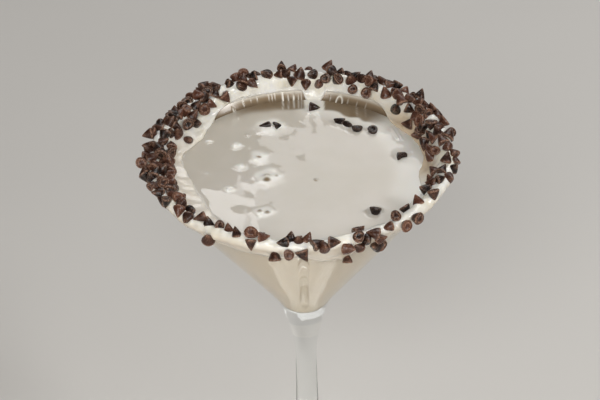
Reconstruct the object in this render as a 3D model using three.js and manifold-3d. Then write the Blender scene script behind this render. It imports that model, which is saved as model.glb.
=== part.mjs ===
// A creamy martini in its stemmed glass. The rim is dipped in white icing and rolled in mini
// chocolate chips, and a few chips float in the drink. Millimetres, +Z up, the origin at the centre
// of the foot's underside. Azimuths are in degrees and run anticlockwise seen from above: 0 is the
// viewer's right (+X) and 270 faces the viewer (-Y).

import * as THREE from "three";
import { mergeVertices } from "three/addons/utils/BufferGeometryUtils.js";
import Module from "manifold-3d";

const wasm = await Module();
wasm.setup();

// Driving dimensions of the glass
const LIP_HEIGHT = 175;
const LIP_RADIUS = 58;
const LIP_WALL = 1.8;
const OUTER_APEX_DEPTH = 83.6; // the bowl's outer cone would close this far below the lip
const INNER_APEX_DEPTH = 76.5;
const WELL_RADIUS = 6.5; // the round bottom inside the bowl
const BOWL_END_DEPTH = 67; // where the straight cone meets the flare of the stem
const STEM_RADIUS = 4.4;
const STEM_WAIST_HEIGHT = 72;
const FOOT_RADIUS = 39;
const FOOT_EDGE = 2.4;

// The drink and the icing
const DRINK_DEPTH = 6.5; // the surface lies this far below the lip
const CLEARANCE = 0.3; // kept between pieces that touch
const ICING_CREST = 3.2;
const ICING_OUTER_THICKNESS = 1.5;
const ICING_OUTER_EDGE = 0.8; // how thick it still is at its outer lower edge
const ICING_INNER_THICKNESS = 1.9;
const ICING_OUTER_DROP = 5.0;
const ICING_INNER_REACH = 2.2; // how far it stands in from the wall at its inner edge
const BARE_WALL_DEPTH = 3.4; // at the back the inner coat stops here, and bare glass shows below it
const SHORT_COAT_THINNING = 0.7; // the share of its reach that the coat loses there
const TAB_START = 78.6; // one flat tab of icing still hangs down to the drink there
const TAB_END = 87.4;

// The mini chocolate chips
const CHIP_RADIUS = 2.3;
const CHIP_HEIGHT = 4.6;
const CHIP_MIDDLE = 0.4; // the middle that a chip turns about, as a share of its height
const CHIP_SINK = 0.75; // how far a chip is pressed into the icing
const HEAP_LIFT = 2.3; // how much higher a chip lies on the others
const INWARD_SHARE = 0.28; // the share of chips that show their flat base
const CHIP_SEED = 7;
const THROWS = 6; // a chip is thrown this many times, and the throw with the most room is kept
const SECTOR_WIDTH = 15;

// The chips in each sector of 15 degrees from azimuth 0: how many there are, the stretch of the
// icing's shown side that they are spread over, where 0 is its outer lower edge and 1 its inner
// edge, and how many more lie heaped on them.
const CHIP_SECTORS = [
  [5, 0.3, 0.8, 0],
  [7, 0.3, 0.72, 0],
  [8, 0.28, 0.7, 1],
  [7, 0.3, 0.72, 1],
  [7, 0.3, 0.74, 1],
  [5, 0.3, 0.72, 1],
  [6, 0.3, 0.72, 1],
  [7, 0.32, 0.78, 1],
  [7, 0.3, 0.78, 1],
  [7, 0.32, 0.76, 1],
  [6, 0.3, 0.72, 2],
  [6, 0.25, 0.68, 2],
  [6, 0.25, 0.64, 2],
  [6, 0.28, 0.62, 1],
  [2, 0.28, 0.45, 0],
  [0, 0.6, 0.74, 0],
  [1, 0.6, 0.74, 0],
  [1, 0.6, 0.74, 0],
  [0, 0.6, 0.74, 0],
  [1, 0.6, 0.74, 0],
  [0, 0.6, 0.74, 0],
  [1, 0.6, 0.74, 0],
  [0, 0.6, 0.74, 0],
  [1, 0.3, 0.44, 0],
];

// Chips that stand out: azimuth, place on the icing's shown side, the tip's lean from upright and
// the tip's bearing.
const PLACED_CHIPS = [
  [0, 0.62, 140, 60],
  [13, 0.83, 125, 250],
  [22, 0.88, 80, 200],
  [21, 0.78, 160, 120],
  [24, 0.62, 125, 40],
  [31, 0.85, 95, 175],
  [41, 0.76, 55, 250],
  [58, 0.83, 140, 80],
  [65, 0.83, 150, 100],
  [137, 0.7, 145, 90],
  [144, 0.77, 75, 330],
  [155, 0.88, 50, 300],
  [173, 0.65, 100, 140],
  [188, 0.42, 100, 20],
  [200, 0.58, 60, 290],
  [211.5, 0.46, 150, 90],
  [216, 0.38, 80, 250],
  [220.5, 0.46, 60, 300],
  [227.5, 0.42, 95, 200],
  [231.5, 0.44, 30, 90],
  [235, 0.27, 20, 270],
  [235.5, 0.5, 120, 130],
  [240.5, 0.51, 30, 110],
  [245, 0.46, 35, 95],
  [250.5, 0.5, 150, 95],
  [251.5, 0.38, 145, 260],
  [255.5, 0.47, 85, 350],
  [260, 0.25, 32, 95],
  [263, 0.43, 80, 200],
  [265, 0.3, 115, 95],
  [265.5, 0.5, 30, 70],
  [268.5, 0.44, 35, 270],
  [270, 0.31, 145, 300],
  [272, 0.55, 42, 45],
  [275, 0.51, 80, 30],
  [277.5, 0.49, 60, 280],
  [281, 0.54, 78, 350],
  [286, 0.49, 85, 330],
  [288, 0.12, 33, 90],
  [290, 0.5, 150, 90],
  [290, 0.39, 40, 200],
  [293, 0.34, 60, 290],
  [296, 0.42, 70, 180],
  [297.5, 0.17, 60, 250],
  [298.5, 0.37, 60, 340],
  [300, 0.13, 118, 110],
  [302.5, 0.43, 90, 200],
  [308, 0.48, 155, 100],
  [309, 0.3, 108, 120],
  [314.5, 0.3, 100, 140],
  [322, 0.49, 40, 125],
  [327.5, 0.39, 150, 290],
  [331, 0.58, 60, 200],
  [336.5, 0.6, 85, 170],
  [337.5, 0.48, 90, 20],
  [341, 0.4, 60, 300],
  [344.5, 0.5, 70, 60],
  [348, 0.65, 70, 120],
  [351.5, 0.43, 35, 60],
  [358, 0.42, 60, 270],
];

// Facets
const GLASS_SIDES = 40;
const ICING_SIDES = 40;
const ICING_FACE_POINTS = 8; // the points of the icing's section that lie on its shown side
const CHIP_SIDES = 6;

const OUTER_SLOPE = LIP_RADIUS / OUTER_APEX_DEPTH;
const LIP_INNER_RADIUS = LIP_RADIUS - LIP_WALL;
const LIP_ROUND = 0.5 * LIP_WALL * Math.cos(Math.atan(LIP_RADIUS / OUTER_APEX_DEPTH));
const INNER_SLOPE = LIP_INNER_RADIUS / INNER_APEX_DEPTH;
const DRINK_LEVEL = LIP_HEIGHT - DRINK_DEPTH;
const DEGREE = Math.PI / 180;

const outerWall = (depth) => LIP_RADIUS - OUTER_SLOPE * depth;
const innerWall = (depth) => LIP_INNER_RADIUS - INNER_SLOPE * depth;

// A smooth bump of height 1 about an azimuth, in degrees.
function bump(azimuth, centre, width) {
  const away = ((azimuth - centre + 540) % 360) - 180;
  return Math.exp(-(Math.abs(away / width) ** 2.5));
}

// A wave that closes on itself round the rim.
function wave(azimuth, count, phase) {
  return Math.sin((count * azimuth + phase) * DEGREE);
}

// 0 to 1 to 0 between two azimuths, with soft ends.
function between(azimuth, low, high, soft) {
  const rise = 1 / (1 + Math.exp(-(azimuth - low) / soft));
  const fall = 1 / (1 + Math.exp(-(azimuth - high) / soft));
  return rise - fall;
}

// The same draws in any language: a linear congruential generator, from 0 to 1.
function makeDraw(seed) {
  let state = seed;
  return () => {
    state = (state * 1664525 + 1013904223) % 4294967296;
    return state / 4294967296;
  };
}

// Turns a closed or axis-to-axis profile of (radius, height) points about Z.
function turned(points, sides) {
  return new THREE.LatheGeometry(points, sides).rotateX(Math.PI / 2);
}

function solidOf(geometry) {
  const bare = new THREE.BufferGeometry().setAttribute("position", geometry.getAttribute("position"));
  if (geometry.index) bare.setIndex(geometry.index);
  const merged = mergeVertices(bare, 1e-4);
  return new wasm.Manifold(
    new wasm.Mesh({
      numProp: 3,
      vertProperties: new Float32Array(merged.getAttribute("position").array),
      triVerts: new Uint32Array(merged.index.array),
    }),
  );
}

function geometryOf(solid) {
  const mesh = solid.getMesh();
  return new THREE.BufferGeometry()
    .setAttribute("position", new THREE.BufferAttribute(new Float32Array(mesh.vertProperties), 3))
    .setIndex(new THREE.BufferAttribute(new Uint32Array(mesh.triVerts), 1));
}

function largestBody(solid) {
  return solid.decompose().reduce((best, body) => (body.volume() > best.volume() ? body : best));
}

// The inside of the bowl, from the axis up to a depth below the lip: a round well, then the straight
// wall. A positive offset moves it into the glass, and a negative one into the drink.
function bowlInside(topDepth, offset, steps) {
  const half = Math.atan(INNER_SLOPE);
  const wellCentre = INNER_APEX_DEPTH - WELL_RADIUS / Math.sin(half);
  const radius = WELL_RADIUS + offset;
  const points = [];
  for (let i = 0; i <= steps; i++) {
    const turn = ((Math.PI / 2 - half) * i) / steps;
    const height = LIP_HEIGHT - wellCentre - radius * Math.cos(turn);
    points.push(new THREE.Vector2(radius * Math.sin(turn), height));
  }
  points.push(new THREE.Vector2(innerWall(topDepth) + offset / Math.cos(half), LIP_HEIGHT - topDepth));
  return points;
}

// The foot, the drawn stem and the bottom of the bowl's outside, from the axis up.
function glassOutside(divisions) {
  const stem = new THREE.Path();
  stem.moveTo(0, 0);
  stem.lineTo(FOOT_RADIUS - 0.8, 0);
  stem.quadraticCurveTo(FOOT_RADIUS + 0.8, FOOT_EDGE / 2, FOOT_RADIUS - 0.8, FOOT_EDGE);
  stem.bezierCurveTo(22, 4.4, 7.2, 5.2, 5.6, 22);
  stem.quadraticCurveTo(STEM_RADIUS + 0.2, 46, STEM_RADIUS, STEM_WAIST_HEIGHT);
  stem.bezierCurveTo(STEM_RADIUS, 83, 6, 90, 8.3, 98);
  stem.quadraticCurveTo(9.6, 103, outerWall(BOWL_END_DEPTH), LIP_HEIGHT - BOWL_END_DEPTH);
  return stem.getPoints(divisions);
}

// The rounded lip, from the outer wall over the top to the inner wall.
function lipArc(offset, steps) {
  const lip = new THREE.Path();
  const middle = outerWall(LIP_ROUND) - LIP_WALL / 2;
  lip.absarc(middle, LIP_HEIGHT - LIP_ROUND, LIP_ROUND + offset, -0.6, 2.5, false);
  return lip.getPoints(steps);
}

function makeGlass() {
  const points = [...glassOutside(4), ...lipArc(0, 2), ...bowlInside(3, 0, 4).reverse()];
  return turned(points, GLASS_SIDES);
}

// The icing over the rim. All its sizes vary with the azimuth in degrees.
function icingOuterDrop(azimuth) {
  const waves = 0.8 * wave(azimuth, 3, 23) + 0.6 * wave(azimuth, 7, 120);
  const runs =
    7.2 * bump(azimuth, 279.5, 7) +
    6.6 * bump(azimuth, 288, 3.4) +
    2.4 * bump(azimuth, 299, 4) +
    3.2 * bump(azimuth, 34, 7) +
    2.6 * bump(azimuth, 152, 8) +
    2.4 * bump(azimuth, 337, 9);
  return ICING_OUTER_DROP + waves + runs;
}

// The stretch at the back where the inner coat is short and thin, from 0 to 1.
function shortCoat(azimuth) {
  return between(azimuth, 47, 131, 2.5);
}

function icingInnerDrop(azimuth) {
  const tab = between(azimuth, TAB_START, TAB_END, 0.4);
  return DRINK_DEPTH - (DRINK_DEPTH - BARE_WALL_DEPTH) * shortCoat(azimuth) * (1 - tab);
}

function icingInnerReach(azimuth) {
  const lobes =
    7.0 * bump(azimuth, 205, 27) +
    3.2 * bump(azimuth, 151, 9) +
    2.3 * bump(azimuth, 183, 9) +
    3.0 * bump(azimuth, 353, 9) +
    1.4 * bump(azimuth, 325, 10) +
    1.6 * bump(azimuth, 262, 16);
  const reach = ICING_INNER_REACH + lobes + 0.35 * wave(azimuth, 11, 40);
  return reach * (1 - SHORT_COAT_THINNING * shortCoat(azimuth));
}

function icingCrest(azimuth) {
  return ICING_CREST + 0.45 * wave(azimuth, 4, 60) + 0.35 * wave(azimuth, 9, 10);
}

// The icing's section at an azimuth: from its outer lower edge over the crest to its inner edge, and
// back across the glass, which is cut out of it later.
function icingSection(azimuth) {
  const drop = icingOuterDrop(azimuth);
  const fall = icingInnerDrop(azimuth);
  const reach = icingInnerReach(azimuth);
  const crest = icingCrest(azimuth);
  const outer = ICING_OUTER_THICKNESS + 0.3 * wave(azimuth, 5, 200);
  const inner = ICING_INNER_THICKNESS + 0.3 * wave(azimuth, 6, 75);
  const at = (radius, depth) => new THREE.Vector2(radius, LIP_HEIGHT - depth);
  return [
    at(outerWall(drop) + ICING_OUTER_EDGE, drop),
    at(outerWall(0.7 * drop) + outer, 0.7 * drop),
    at(LIP_RADIUS + outer, -0.2 * crest),
    at(LIP_RADIUS - 0.3, -crest),
    at(LIP_INNER_RADIUS - inner, -0.5 * crest),
    at(innerWall(0.6 * fall) - inner - 0.35 * (reach - ICING_INNER_REACH), 0.6 * fall),
    at(innerWall(fall) - reach, fall - 0.9),
    at(innerWall(fall) - reach + 0.4, fall),
    at(innerWall(fall) + 0.5 * LIP_WALL, fall),
    at(outerWall(drop) - 0.5 * LIP_WALL, drop),
  ];
}

function makeIcing() {
  const closed = icingSection(0);
  closed.push(closed[0]);
  const geometry = turned(closed, ICING_SIDES);
  const position = geometry.getAttribute("position");
  for (let i = 0; i <= ICING_SIDES; i++) {
    const azimuth = ((i % ICING_SIDES) * 360) / ICING_SIDES;
    const points = icingSection(azimuth);
    points.push(points[0]);
    points.forEach((p, j) => {
      const x = p.x * Math.cos(azimuth * DEGREE);
      const y = p.x * Math.sin(azimuth * DEGREE);
      position.setXYZ(i * points.length + j, x, y, p.y);
    });
  }
  return geometry;
}

// A point on the icing's shown side and the way out of it. The share runs from 0 at its outer lower
// edge to 1 at its inner edge.
function icingSpot(azimuth, share) {
  const face = icingSection(azimuth).slice(0, ICING_FACE_POINTS);
  const lengths = face.slice(1).map((p, j) => p.distanceTo(face[j]));
  const along = share * lengths.reduce((sum, length) => sum + length, 0);
  let before = 0;
  let j = 0;
  while (j < lengths.length - 1 && before + lengths[j] < along) {
    before += lengths[j];
    j += 1;
  }
  const spot = face[j].clone().lerp(face[j + 1], (along - before) / lengths[j]);
  const way = face[j + 1].clone().sub(face[j]).normalize();
  const round = azimuth * DEGREE;
  const outward = new THREE.Vector3(way.y * Math.cos(round), way.y * Math.sin(round), -way.x);
  return {
    point: new THREE.Vector3(spot.x * Math.cos(round), spot.x * Math.sin(round), spot.y),
    outward,
  };
}

// A mini chip: a flat round base and a side that swells a little and runs to a tip. It stands at the origin.
function chipGeometry(radius, height) {
  const profile = [
    [0, 0],
    [1, 0],
    [0.64, 0.48],
    [0, 1],
  ].map(([r, h]) => new THREE.Vector2(r * radius, h * height));
  return turned(profile, CHIP_SIDES);
}

// One chip with its tip along axis, and its middle at centre.
function placedChip({ centre, axis, spin, size }) {
  const stand = new THREE.Quaternion().setFromUnitVectors(new THREE.Vector3(0, 0, 1), axis);
  const turn = new THREE.Quaternion().setFromAxisAngle(new THREE.Vector3(0, 0, 1), spin);
  const place = new THREE.Matrix4().compose(centre, stand.multiply(turn), new THREE.Vector3(1, 1, 1));
  const chip = chipGeometry(CHIP_RADIUS * size, CHIP_HEIGHT * size);
  return solidOf(chip.translate(0, 0, -CHIP_MIDDLE * CHIP_HEIGHT * size).applyMatrix4(place));
}

// The direction that leans from upright by one angle, to a bearing.
function toward(lean, bearing) {
  const flat = Math.sin(lean * DEGREE);
  const turn = bearing * DEGREE;
  return new THREE.Vector3(flat * Math.cos(turn), flat * Math.sin(turn), Math.cos(lean * DEGREE));
}

// A chip thrown on the icing: its tip leans any way, and sometimes points inward.
function chipOnIcing(azimuth, share, lift, draw) {
  const { point, outward } = icingSpot(azimuth, share);
  const lean = 1.5 * draw() ** 0.8;
  const leanWay = 2 * Math.PI * draw();
  const inward = draw() < INWARD_SHARE;
  const spin = 2 * Math.PI * draw();
  const size = 0.88 + 0.24 * draw();
  const side = new THREE.Vector3(-Math.sin(azimuth * DEGREE), Math.cos(azimuth * DEGREE), 0);
  const up = new THREE.Vector3().crossVectors(outward, side);
  const axis = outward.clone().multiplyScalar(Math.cos(lean));
  axis.addScaledVector(side, Math.sin(lean) * Math.cos(leanWay));
  axis.addScaledVector(up, Math.sin(lean) * Math.sin(leanWay));
  if (inward) axis.negate();
  const height = CHIP_MIDDLE * CHIP_HEIGHT * size - CHIP_SINK + lift;
  return { centre: point.clone().addScaledVector(outward, height), axis, spin, size };
}

// Of a few throws into a sector, the one that lands with the most room round it.
function thrownChip(sector, low, high, lift, chips, draw) {
  let best = null;
  let bestRoom = -1;
  for (let k = 0; k < THROWS; k++) {
    const azimuth = SECTOR_WIDTH * (sector + draw());
    const chip = chipOnIcing(azimuth, low + (high - low) * draw(), lift, draw);
    const room = Math.min(...chips.map((other) => other.centre.distanceTo(chip.centre)));
    if (room > bestRoom) {
      best = chip;
      bestRoom = room;
    }
  }
  return best;
}

// All the chips on the icing: those that stand out, then those thrown sector by sector, and last
// the heaped ones.
function rimChips() {
  const draw = makeDraw(CHIP_SEED);
  const chips = PLACED_CHIPS.map(([azimuth, share, lean, bearing]) => {
    return { ...chipOnIcing(azimuth, share, 0, draw), axis: toward(lean, bearing) };
  });
  CHIP_SECTORS.forEach(([count, low, high], sector) => {
    for (let k = 0; k < count; k++) chips.push(thrownChip(sector, low, high, 0, chips, draw));
  });
  CHIP_SECTORS.forEach(([, low, , heaped], sector) => {
    for (let k = 0; k < heaped; k++) chips.push(thrownChip(sector, low, 0.6, HEAP_LIFT, chips, draw));
  });
  return chips;
}

// The chips that float in the drink: azimuth, distance from the axis, the tip's lean from upright,
// the tip's bearing, and how far the chip's middle stands above the surface.
const FLOATING_CHIPS = [
  [113, 35.2, 80, 200, 0.1],
  [105, 33.2, 95, 20, 0.0],
  [82, 44.6, 88, 350, 1.0],
  [64, 37.2, 70, 160, 0.5],
  [57, 36.6, 60, 300, 0.3],
  [49.5, 35.8, 165, 250, 0.2],
  [41.5, 39.4, 172, 90, 0.2],
  [11.5, 40.4, 100, 120, 0.5],
  [314, 40.0, 150, 250, 0.9],
];

function floatingChips() {
  return FLOATING_CHIPS.map(([azimuth, radius, lean, bearing, rise], index) => {
    const centre = toward(90, azimuth).multiplyScalar(radius);
    centre.z = DRINK_LEVEL + rise;
    return { centre, axis: toward(lean, bearing), spin: index, size: 0.97 };
  });
}

function fuse(core, chips) {
  return chips.reduce((solid, chip) => solid.add(placedChip(chip)), core);
}

// The drink up to its level, with the chips that float in it.
function makeDrink() {
  const inside = bowlInside(DRINK_DEPTH, -CLEARANCE, 5);
  inside.push(new THREE.Vector2(0, DRINK_LEVEL));
  const core = solidOf(turned(inside, GLASS_SIDES));
  return geometryOf(fuse(core, floatingChips()));
}

// The bowl and the drink, swollen by the clearance: what the icing and its chips stay out of.
function keepOut() {
  const gap = CLEARANCE / Math.cos(Math.atan(OUTER_SLOPE));
  const points = [
    new THREE.Vector2(0, LIP_HEIGHT - BOWL_END_DEPTH),
    new THREE.Vector2(outerWall(BOWL_END_DEPTH) + gap, LIP_HEIGHT - BOWL_END_DEPTH),
    ...lipArc(CLEARANCE, 3),
    new THREE.Vector2(innerWall(DRINK_DEPTH - CLEARANCE) - gap, DRINK_LEVEL + CLEARANCE),
    new THREE.Vector2(0, DRINK_LEVEL + CLEARANCE),
  ];
  return solidOf(turned(points, GLASS_SIDES));
}

function makeIcedRim() {
  const rim = fuse(solidOf(makeIcing()), rimChips()).subtract(keepOut());
  return geometryOf(largestBody(rim));
}

const glassLook = new THREE.MeshStandardMaterial({
  color: 0xe9eef0,
  roughness: 0.03,
  metalness: 0,
  transparent: true,
  opacity: 0.35,
});
const drinkLook = new THREE.MeshStandardMaterial({ color: 0xe6dfd2, roughness: 0.12, metalness: 0 });
const icingLook = new THREE.MeshStandardMaterial({ color: 0xece6d6, roughness: 0.3, metalness: 0 });

function named(name, geometry, material) {
  const mesh = new THREE.Mesh(geometry, material);
  mesh.name = name;
  return mesh;
}

const martini = new THREE.Group();
martini.add(named("glass", makeGlass(), glassLook));
martini.add(named("drink", makeDrink(), drinkLook));
martini.add(named("iced_rim", makeIcedRim(), icingLook));

export default martini;
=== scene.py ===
import math

import bpy
import numpy as np
from mathutils import Matrix, Vector, noise


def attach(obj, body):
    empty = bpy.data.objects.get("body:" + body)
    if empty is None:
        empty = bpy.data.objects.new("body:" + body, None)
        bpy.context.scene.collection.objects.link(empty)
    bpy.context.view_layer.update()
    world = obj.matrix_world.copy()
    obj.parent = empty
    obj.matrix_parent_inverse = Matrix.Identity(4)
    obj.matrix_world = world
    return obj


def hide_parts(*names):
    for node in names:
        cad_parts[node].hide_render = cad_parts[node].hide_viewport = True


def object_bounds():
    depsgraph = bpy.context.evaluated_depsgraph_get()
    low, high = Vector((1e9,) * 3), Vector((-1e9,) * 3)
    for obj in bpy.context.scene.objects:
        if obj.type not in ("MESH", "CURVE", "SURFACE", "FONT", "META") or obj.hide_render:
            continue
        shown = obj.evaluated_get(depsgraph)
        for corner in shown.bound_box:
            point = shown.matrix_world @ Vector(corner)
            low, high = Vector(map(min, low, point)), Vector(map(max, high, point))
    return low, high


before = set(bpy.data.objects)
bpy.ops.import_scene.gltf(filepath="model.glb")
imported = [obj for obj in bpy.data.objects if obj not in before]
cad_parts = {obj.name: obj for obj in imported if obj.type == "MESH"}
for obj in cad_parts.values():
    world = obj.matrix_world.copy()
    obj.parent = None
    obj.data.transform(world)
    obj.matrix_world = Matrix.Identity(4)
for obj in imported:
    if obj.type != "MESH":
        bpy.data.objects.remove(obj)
CAD_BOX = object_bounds()

# Lengths are in millimetres until a mesh is made. Azimuths are in degrees, anticlockwise seen from
# above: 0 is the viewer's right (+X) and 270 faces the viewer (-Y). Depths go down from the lip.
MM = 0.001
DEGREE = math.pi / 180

# Driving dimensions of the glass
LIP_HEIGHT = 175.0
LIP_RADIUS = 58.0
LIP_WALL = 1.8
OUTER_APEX_DEPTH = 83.6
INNER_APEX_DEPTH = 76.5
WELL_RADIUS = 6.5
BOWL_END_DEPTH = 67.0
STEM_RADIUS = 4.4
STEM_WAIST_HEIGHT = 72.0
STEM_BASE = (5.6, 22)  # radius and height where the foot's slope ends in the stem
FLARE_END = (8.3, 98)  # radius and height where the stem's flare meets the bowl's bottom
FOOT_RADIUS = 39.0
FOOT_EDGE = 2.4
FOOT_ROUND = 0.8
OUTER_SLOPE = LIP_RADIUS / OUTER_APEX_DEPTH
LIP_INNER_RADIUS = LIP_RADIUS - LIP_WALL
INNER_SLOPE = LIP_INNER_RADIUS / INNER_APEX_DEPTH
LIP_ROUND = 0.5 * LIP_WALL * math.cos(math.atan(OUTER_SLOPE))
LIP_ARC = (-0.6, 2.5)  # the turn of the rounded lip in radians, from its outer to its inner side
STRAIGHT_WALL_DEPTH = 3.0  # where the inside's straight wall starts, below the rounded lip

# The drink and the icing
DRINK_DEPTH = 6.5
DRINK_LEVEL = LIP_HEIGHT - DRINK_DEPTH
INTO_GLASS = 0.12  # how far the drink and the icing reach into the wall, so that no gap shows
ICING_CREST = 3.2
ICING_OUTER_THICKNESS = 1.5
ICING_OUTER_EDGE = 0.8
ICING_INNER_THICKNESS = 1.9
ICING_OUTER_DROP = 5.0
ICING_INNER_REACH = 2.2
BARE_WALL_DEPTH = 3.4
SHORT_COAT_START = 47.0
SHORT_COAT_END = 131.0
SHORT_COAT_THINNING = 0.7
TAB_START = 78.6
TAB_END = 87.4
ICING_DIP = 0.7  # how far the icing's inner edge dips into the drink
WRAP_DEPTH = 1.4  # the icing's back lies on the straight walls below this and on the lip above
LUMPS = [(0.17, 0.5), (0.38, 0.3)]  # the icing's soft lumps: how close together, and how high
LUMP_SINK = 0.1
COLLAR_RADIUS = 2.2
COLLAR_WIDTH = 0.75
COLLAR_RISE = 0.4

# The icing's runs outside and its lobes inside: how far, azimuth and width in degrees
OUTER_RUNS = [
    (7.2, 279.5, 7),
    (6.6, 288, 3.4),
    (2.4, 299, 4),
    (3.2, 34, 7),
    (2.6, 152, 8),
    (2.4, 337, 9),
]
INNER_LOBES = [
    (7.0, 205, 27),
    (3.2, 151, 9),
    (2.3, 183, 9),
    (3.0, 353, 9),
    (1.4, 325, 10),
    (1.6, 262, 16),
]

# The icing's thinner, darker coat outside: the depth where it begins and how far on it is full
RUN_START = -2.5
RUN_FADE = 3.0

# A tan tint on the icing's inside, deeper down: two azimuths, the depth where they start, strength
RIGHT_TAN = (-8, 44, 1.5, 0.9)
LEFT_TAN = (148, 250, 3.0, 0.35)

# The mini chocolate chips
CHIP_RADIUS = 2.3
CHIP_HEIGHT = 4.6
CHIP_MIDDLE = 0.4
CHIP_SINK = 0.75
SMALLEST_CHIP = 0.88
CHIP_SIZE_SPREAD = 0.24
FLOATING_SIZE = 0.97
SHOWN_SIZE = 0.98  # keeps the rounded chips just inside the plain ones
THROWN_LEAN = 1.5
HEAP_LIFT = 2.3
HEAP_END = 0.6
FILLING_LIFT = 0.5
FILLING_MARGIN = 0.04
INWARD_SHARE = 0.28
CHIP_SEED = 7
SHAPE_SEED = 1000
SHAPE_SEED_STEP = 77
SKIPPED_DRAWS = 3
THROWS = 6
SECTOR_WIDTH = 15
TIP_BEND = 0.6
BOX_MARGIN = 0.02

# The chips in each sector: how many, the stretch of the icing's shown side that they land on, and
# how many are heaped on top
CHIP_SECTORS = [
    (5, 0.3, 0.8, 0),
    (7, 0.3, 0.72, 0),
    (8, 0.28, 0.7, 1),
    (7, 0.3, 0.72, 1),
    (7, 0.3, 0.74, 1),
    (5, 0.3, 0.72, 1),
    (6, 0.3, 0.72, 1),
    (7, 0.32, 0.78, 1),
    (7, 0.3, 0.78, 1),
    (7, 0.32, 0.76, 1),
    (6, 0.3, 0.72, 2),
    (6, 0.25, 0.68, 2),
    (6, 0.25, 0.64, 2),
    (6, 0.28, 0.62, 1),
    (2, 0.28, 0.45, 0),
    (0, 0.6, 0.74, 0),
    (1, 0.6, 0.74, 0),
    (1, 0.6, 0.74, 0),
    (0, 0.6, 0.74, 0),
    (1, 0.6, 0.74, 0),
    (0, 0.6, 0.74, 0),
    (1, 0.6, 0.74, 0),
    (0, 0.6, 0.74, 0),
    (1, 0.3, 0.44, 0),
]

# More chips in each sector, which fill the gaps between the others
FILLING_CHIPS = [4, 4, 5, 4, 3, 2, 3, 4, 5, 5, 6, 6, 6, 5, 1, 0, 0, 0, 0, 0, 0, 0, 1, 2]

# Chips that stand out: azimuth, share of the way over the icing from its outer edge, the tip's lean
# from upright and its bearing
PLACED_CHIPS = [
    (0, 0.62, 140, 60),
    (13, 0.83, 125, 250),
    (22, 0.88, 80, 200),
    (21, 0.78, 160, 120),
    (24, 0.62, 125, 40),
    (31, 0.85, 95, 175),
    (41, 0.76, 55, 250),
    (58, 0.83, 140, 80),
    (65, 0.83, 150, 100),
    (137, 0.7, 145, 90),
    (144, 0.77, 75, 330),
    (155, 0.88, 50, 300),
    (173, 0.65, 100, 140),
    (188, 0.42, 100, 20),
    (200, 0.58, 60, 290),
    (211.5, 0.46, 150, 90),
    (216, 0.38, 80, 250),
    (220.5, 0.46, 60, 300),
    (227.5, 0.42, 95, 200),
    (231.5, 0.44, 30, 90),
    (235, 0.27, 20, 270),
    (235.5, 0.5, 120, 130),
    (240.5, 0.51, 30, 110),
    (245, 0.46, 35, 95),
    (250.5, 0.5, 150, 95),
    (251.5, 0.38, 145, 260),
    (255.5, 0.47, 85, 350),
    (260, 0.25, 32, 95),
    (263, 0.43, 80, 200),
    (265, 0.3, 115, 95),
    (265.5, 0.5, 30, 70),
    (268.5, 0.44, 35, 270),
    (270, 0.31, 145, 300),
    (272, 0.55, 42, 45),
    (275, 0.51, 80, 30),
    (277.5, 0.49, 60, 280),
    (281, 0.54, 78, 350),
    (286, 0.49, 85, 330),
    (288, 0.12, 33, 90),
    (290, 0.5, 150, 90),
    (290, 0.39, 40, 200),
    (293, 0.34, 60, 290),
    (296, 0.42, 70, 180),
    (297.5, 0.17, 60, 250),
    (298.5, 0.37, 60, 340),
    (300, 0.13, 118, 110),
    (302.5, 0.43, 90, 200),
    (308, 0.48, 155, 100),
    (309, 0.3, 108, 120),
    (314.5, 0.3, 100, 140),
    (322, 0.49, 40, 125),
    (327.5, 0.39, 150, 290),
    (331, 0.58, 60, 200),
    (336.5, 0.6, 85, 170),
    (337.5, 0.48, 90, 20),
    (341, 0.4, 60, 300),
    (344.5, 0.5, 70, 60),
    (348, 0.65, 70, 120),
    (351.5, 0.43, 35, 60),
    (358, 0.42, 60, 270),
]

# Floating chips: azimuth, radius, the tip's lean and bearing, the middle's height over the surface
FLOATING_CHIPS = [
    (113, 35.2, 80, 200, 0.1),
    (105, 33.2, 95, 20, 0.0),
    (82, 44.6, 88, 350, 1.0),
    (64, 37.2, 70, 160, 0.5),
    (57, 36.6, 60, 300, 0.3),
    (49.5, 35.8, 165, 250, 0.2),
    (41.5, 39.4, 172, 90, 0.2),
    (11.5, 40.4, 100, 120, 0.5),
    (314, 40.0, 150, 250, 0.9),
]

# Bubbles and sunken crumbs that lift the drink's skin: x, y, radius, height
SKIN_BUMPS = [
    (-13.2, -3.2, 1.7, 1.0),
    (-9.3, -2.2, 0.8, 0.35),
    (-16.9, 10.6, 1.0, 0.45),
    (-23.8, 4.9, 0.7, 0.4),
    (-26.3, 19.4, 0.7, 0.35),
    (-24.4, 19.8, 0.6, 0.3),
    (5.9, -5.7, 0.6, 0.3),
    (-15.9, -25.0, 0.8, 0.5),
    (-13.0, -25.8, 0.9, 0.5),
    (-28.6, -10.0, 0.5, 0.3),
    (-27.2, -9.2, 0.4, 0.25),
    (-27.0, -10.8, 0.4, 0.25),
    (-21.0, 26.5, 0.6, 0.3),
    (-36.5, 23.0, 0.7, 0.3),
    (-41.0, 30.0, 0.7, 0.3),
]

# Whiter foam, partly a painted reflection, on the drink: x, y, half width, half length, and how far
# its middle is clear of it
FOAM_AND_REFLECTION_PATCHES = [
    (-12.0, 32.0, 7.4, 6.2, 0.25),
    (-12.6, -2.6, 6.6, 7.2, 0.3),
    (-16.0, 10.8, 4.4, 5.4, 0.1),
    (-23.8, 4.6, 2.6, 2.4, 0.0),
    (-25.4, 19.4, 2.6, 2.6, 0.0),
    (-14.2, -25.6, 4.8, 4.0, 0.1),
    (-27.8, -10.4, 3.0, 2.4, 0.2),
    (-36.4, 23.0, 1.8, 1.2, 0.0),
    (-41.0, 30.0, 1.8, 1.6, 0.0),
]
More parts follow.
